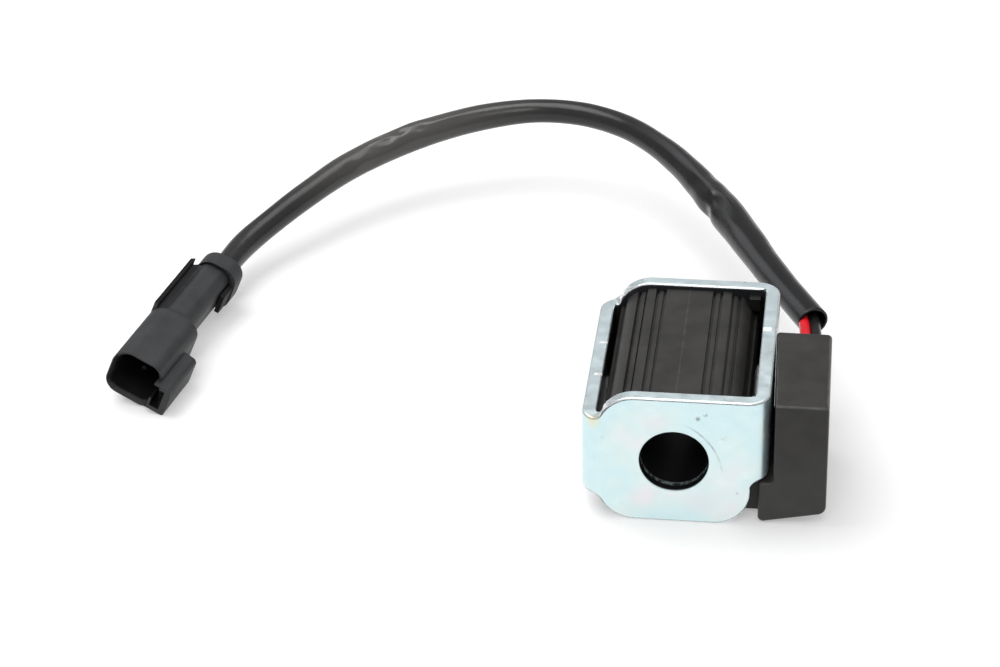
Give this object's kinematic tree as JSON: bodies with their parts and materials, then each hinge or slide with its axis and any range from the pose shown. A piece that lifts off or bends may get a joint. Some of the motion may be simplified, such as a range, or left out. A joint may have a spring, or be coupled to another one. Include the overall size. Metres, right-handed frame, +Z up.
{
  "type": "solenoid valve coil",
  "caption": "Valve solenoid coil: plated steel yoke around a ribbed moulded coil with an open bore, side terminal box, and a sleeved lead to a sealed receptacle with a sliding wedge lock.",
  "frame": {"origin": "on the bore's axis, midway between the outer faces of the front and back plates", "axes": "-Y out of the bore through the front plate, which faces the camera; +X to the terminal box; +Z up, with the coil lying on its plates' edges"},
  "size_m": [0.1464, 0.1335, 0.0278],
  "materials": {
    "zinc_steel": "zinc plated, satin",
    "bobbin_plastic": "moulded",
    "copper": "enamelled copper wire",
    "tape": "film tape",
    "coil_plastic": "moulded, satin",
    "resin": "cast",
    "brass": "stamped",
    "tinned_metal": "tin plated",
    "red_insulation": "extruded",
    "black_insulation": "extruded",
    "sleeve_vinyl": "soft tube, semi-gloss",
    "connector_plastic": "moulded, fine matt",
    "seal_rubber": "silicone",
    "wedge_plastic": "moulded"
  },
  "bodies": {
    "coil": {"front_yoke": "zinc_steel", "rear_yoke": "zinc_steel", "bobbin": "bobbin_plastic", "winding": "copper", "winding_tape": "tape", "coil_moulding": "coil_plastic", "terminal_box": "coil_plastic", "box_potting": "resin", "start_terminal": "brass", "finish_terminal": "brass", "red_ferrule": "tinned_metal", "black_ferrule": "tinned_metal", "red_lead": "red_insulation", "black_lead": "black_insulation", "lead_sleeve": "sleeve_vinyl", "connector_shell": "connector_plastic", "seal_retainer": "connector_plastic", "wire_seal": "seal_rubber", "red_tail": "red_insulation", "black_tail": "black_insulation", "contact_pin_red": "tinned_metal", "contact_pin_black": "tinned_metal"},
    "wedge": {"wedge_lock": "wedge_plastic"}
  },
  "joints": [
    {"name": "wedge_slide", "type": "slide", "parent": "coil", "child": "wedge", "axis": [-0.2113, -0.9774, 0], "range_m": [0, 0.013]}
  ]
}
